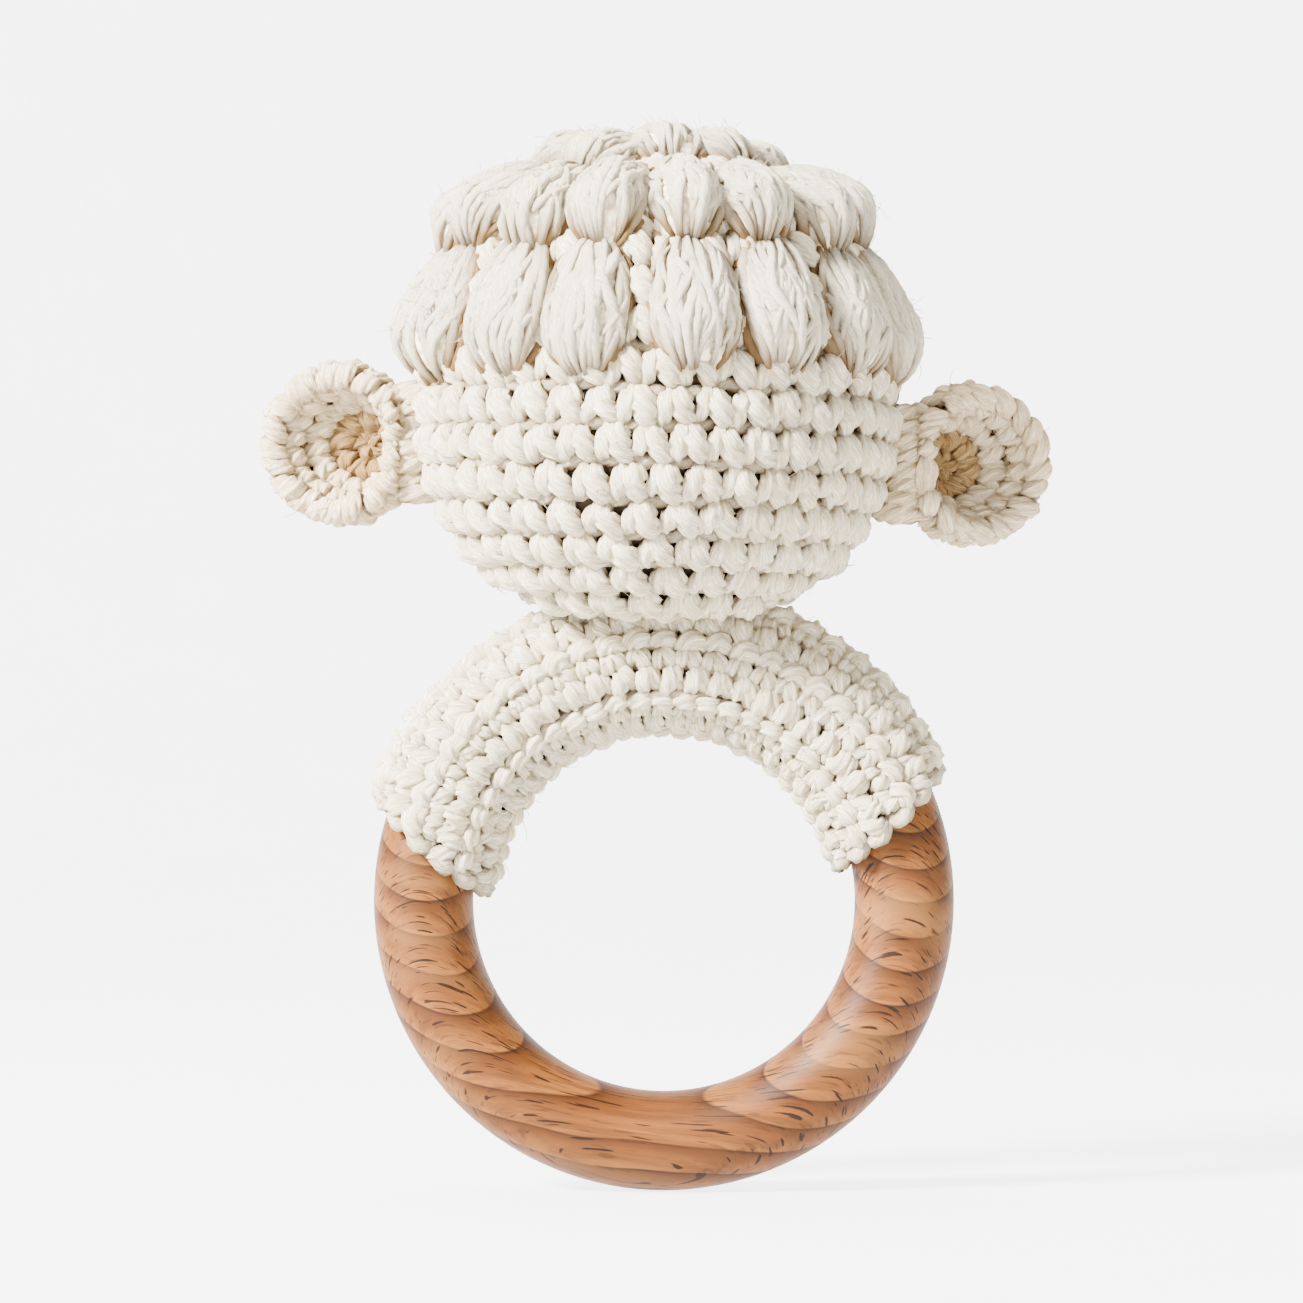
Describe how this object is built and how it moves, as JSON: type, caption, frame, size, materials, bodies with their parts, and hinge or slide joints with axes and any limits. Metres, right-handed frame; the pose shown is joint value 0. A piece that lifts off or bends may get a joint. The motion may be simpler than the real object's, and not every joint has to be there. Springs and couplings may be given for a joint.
{
  "type": "teething ring rattle",
  "caption": "Round wooden teething ring with a crocheted sleeve and a stuffed, curly-topped crocheted animal-head rattle with cupped ears.",
  "frame": {"origin": "centre of the wooden ring, in the middle of its thickness", "axes": "+Z from the ring's centre up through the head, the face side looks along -Y, +X is to the viewer's right; the ring lies in the XZ plane"},
  "size_m": [0.095, 0.0652, 0.1276],
  "materials": {
    "beech_wood": "waxed beech, satin",
    "cream_yarn": "undyed cotton yarn, worked in single crochet",
    "ear_yarn": "undyed cotton yarn, worked in single crochet",
    "sewing_yarn": "undyed cotton yarn, sewn",
    "fibre_filling": "loose polyester fibre",
    "case_plastic": "moulded, matte",
    "pellet_plastic": "moulded, matte"
  },
  "bodies": {
    "sleeve": {"ring_sleeve": "cream_yarn", "sleeve_seam": "sewing_yarn"},
    "ring": {"wooden_ring": "beech_wood"},
    "head": {"neck_seam": "sewing_yarn", "head_cover": "cream_yarn", "curl_round_lower": "cream_yarn", "curl_round_middle": "cream_yarn", "curl_round_upper": "cream_yarn", "crown_knot": "cream_yarn", "head_stuffing": "fibre_filling", "rattle_case_lower": "case_plastic", "rattle_case_upper": "case_plastic", "ear_left_seam": "sewing_yarn", "ear_right_seam": "sewing_yarn"},
    "ear_left": {"ear_left": "ear_yarn"},
    "ear_right": {"ear_right": "ear_yarn"},
    "pellet_1": {"rattle_pellet_1": "pellet_plastic"},
    "pellet_2": {"rattle_pellet_2": "pellet_plastic"},
    "pellet_3": {"rattle_pellet_3": "pellet_plastic"},
    "pellet_4": {"rattle_pellet_4": "pellet_plastic"},
    "pellet_5": {"rattle_pellet_5": "pellet_plastic"}
  },
  "joints": [
    {"name": "ring_turn", "type": "hinge", "parent": "sleeve", "child": "ring", "pos_m": [0, 0, 0], "axis": [0, 1, 0], "continuous": true},
    {"name": "head_nod", "type": "hinge", "parent": "sleeve", "child": "head", "pos_m": [0, 0, 0.029], "axis": [1, 0, 0], "range_deg": [-12, 12], "stiffness_Nm_per_rad": 0.15},
    {"name": "ear_left_flap", "type": "hinge", "parent": "head", "child": "ear_left", "pos_m": [-0.0302, 0.002, 0.0551], "axis": [0, 0, 1], "range_deg": [-25, 25], "stiffness_Nm_per_rad": 0.001},
    {"name": "ear_right_flap", "type": "hinge", "parent": "head", "child": "ear_right", "pos_m": [0.0286, 0.002, 0.0527], "axis": [0, 0, 1], "range_deg": [-25, 25], "stiffness_Nm_per_rad": 0.001},
    {"name": "pellet_1_bounce", "type": "slide", "parent": "head", "child": "pellet_1", "axis": [0, 0, 1], "range_m": [0, 0.0114]},
    {"name": "pellet_2_bounce", "type": "slide", "parent": "head", "child": "pellet_2", "axis": [0, 0, 1], "range_m": [0, 0.0114]},
    {"name": "pellet_3_bounce", "type": "slide", "parent": "head", "child": "pellet_3", "axis": [0, 0, 1], "range_m": [0, 0.0114]},
    {"name": "pellet_4_bounce", "type": "slide", "parent": "head", "child": "pellet_4", "axis": [0, 0, 1], "range_m": [0, 0.0114]},
    {"name": "pellet_5_bounce", "type": "slide", "parent": "head", "child": "pellet_5", "axis": [0, 0, 1], "range_m": [0, 0.0114]}
  ]
}
